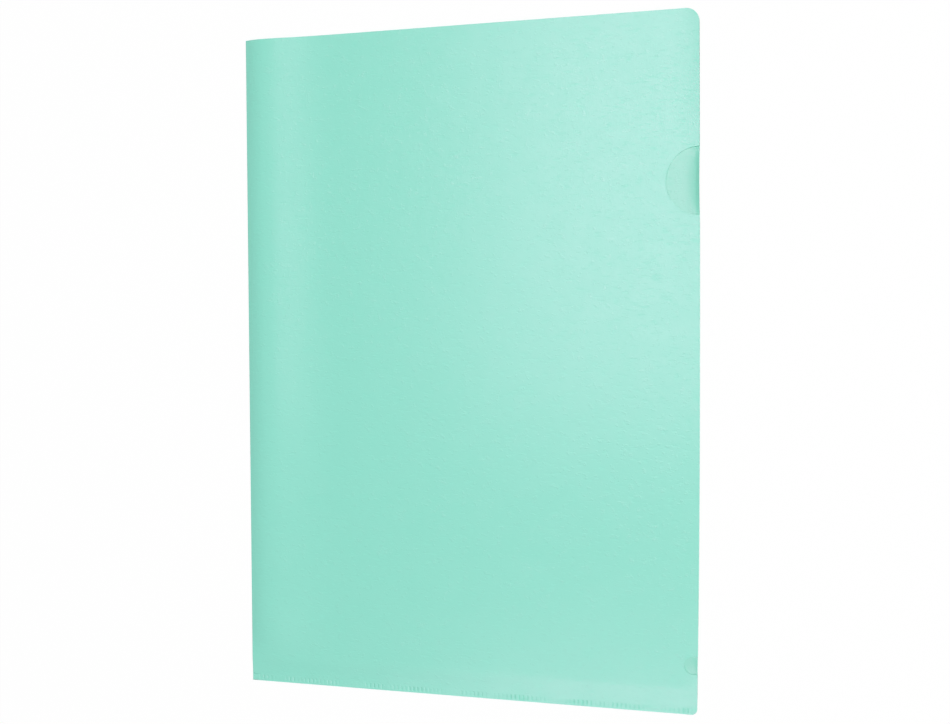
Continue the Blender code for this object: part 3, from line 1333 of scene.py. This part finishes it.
@dataclass
class Studio:
    """Pale floor, soft light and the camera."""

    page: Page
    ambient: float = 0.29
    # The room's reflection darkens to this tone at the left, between these two directions.
    dark_side: tuple[float, float] = (-0.85, -0.45)
    dark_tone: float = 0.68
    floor_size: float = 8.0
    floor_drop: float = 0.05 * MM
    # The floor's own tone, and the share of plain white that the camera sees over it.
    floor_tone: float = 0.9
    floor_white: float = 0.96
    boxes: tuple[SoftBox, ...] = (
        SoftBox("key_box", (-0.10, 0.325, 1.0), (-0.10, 0.325, 0.0), (0.45, 0.86), 4.0),
        SoftBox("low_box", (-0.13, -0.62, 1.0), (-0.13, -0.62, 0.0), (0.46, 0.44), 3.9),
        SoftBox("side_box", (0.95, 0.05, 0.75), (0.0, 0.0, 0.0), (0.8, 0.9), 3.0),
    )

    def white_to_the_eye(self, nodes: Wiring, share: float) -> Socket:
        """Finds where a surface is seen by the camera or in a reflection.

        Args:
            nodes: the nodes of the floor or of the world.
            share: how much of the surface is then plain white.

        Returns:
            The share for such a ray, and 0 for light that falls on the object.
        """
        path = nodes.add("ShaderNodeLightPath").outputs
        seen = nodes.maths("MAXIMUM", path["Is Camera Ray"], path["Is Glossy Ray"])
        seen = nodes.maths("MAXIMUM", seen, path["Is Transmission Ray"])
        return nodes.maths("MULTIPLY", seen, share)

    def floor(self) -> None:
        """Lays the floor just under the folder."""
        half = self.floor_size / 2
        corners = ((-half, -half), (half, -half), (half, half), (-half, half))
        mesh = bpy.data.meshes.new("floor")
        mesh.from_pydata([(x, y, -self.floor_drop) for x, y in corners], [], [(0, 1, 2, 3)])
        obj = bpy.data.objects.new("floor", mesh)
        bpy.context.scene.collection.objects.link(obj)
        material = bpy.data.materials.new("pale_floor")
        nodes = Wiring.emptied(material)
        tone = (self.floor_tone, self.floor_tone, self.floor_tone, 1)
        pale = nodes.add("ShaderNodeBsdfDiffuse", {"Color": tone})
        white = nodes.add("ShaderNodeEmission")
        seen = self.white_to_the_eye(nodes, self.floor_white)
        nodes.mixed(seen, pale, white, "ShaderNodeOutputMaterial")
        mesh.materials.append(material)

    def surroundings(self) -> None:
        """Fills the room with even light, and shows it white behind the folder."""
        world = bpy.data.worlds.new("room")
        bpy.context.scene.world = world
        nodes = Wiring.emptied(world)
        white = (1, 1, 1, 1)
        room = nodes.add("ShaderNodeBackground", {"Color": white, "Strength": self.ambient})
        ways = nodes.add("ShaderNodeTexCoord").outputs["Generated"]
        left = nodes.add("ShaderNodeSeparateXYZ", {"Vector": ways}).outputs["X"]
        shade = nodes.graded(left, self.dark_side, (self.dark_tone, 1))
        camera = nodes.add("ShaderNodeLightPath").outputs["Is Camera Ray"]
        strength = nodes.maths("MAXIMUM", camera, shade)
        backdrop = nodes.add("ShaderNodeBackground", {"Color": white, "Strength": strength})
        nodes.mixed(self.white_to_the_eye(nodes, 1.0), room, backdrop, "ShaderNodeOutputWorld")

    def build(self) -> None:
        """Sets up the floor, the lamps and the camera."""
        self.floor()
        self.surroundings()
        for box in self.boxes:
            box.build()
        PhotoView().build(2 * self.page.film + self.page.pocket)
        bpy.context.scene.view_settings.view_transform = "Standard"


def main() -> None:
    """Builds the folder's pieces and the studio."""
    logging.basicConfig(level=logging.INFO, format="%(message)s")
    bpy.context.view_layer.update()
    page = Page()
    rear = RearFilm(page)
    rear_piece = rear.build()
    # The rear film takes the darker copy of the film, which is painted shade.
    rear.dress(rear_piece, ToneAndShade.REAR.value.material())
    front = FrontFilm(page)
    front_pieces = front.build()
    front.dress(front_pieces, ToneAndShade.FRONT.value.material())
    weld = WeldStrip(page)
    weld_piece = weld.build(ToneAndShade.FUSED.value.material())
    weld.dress(weld_piece)
    for piece in (rear_piece, *front_pieces, weld_piece):
        LOG.info("%s: %d faces", piece.name, len(piece.data.polygons))
    Studio(page).build()


if __name__ == "__main__":
    main()
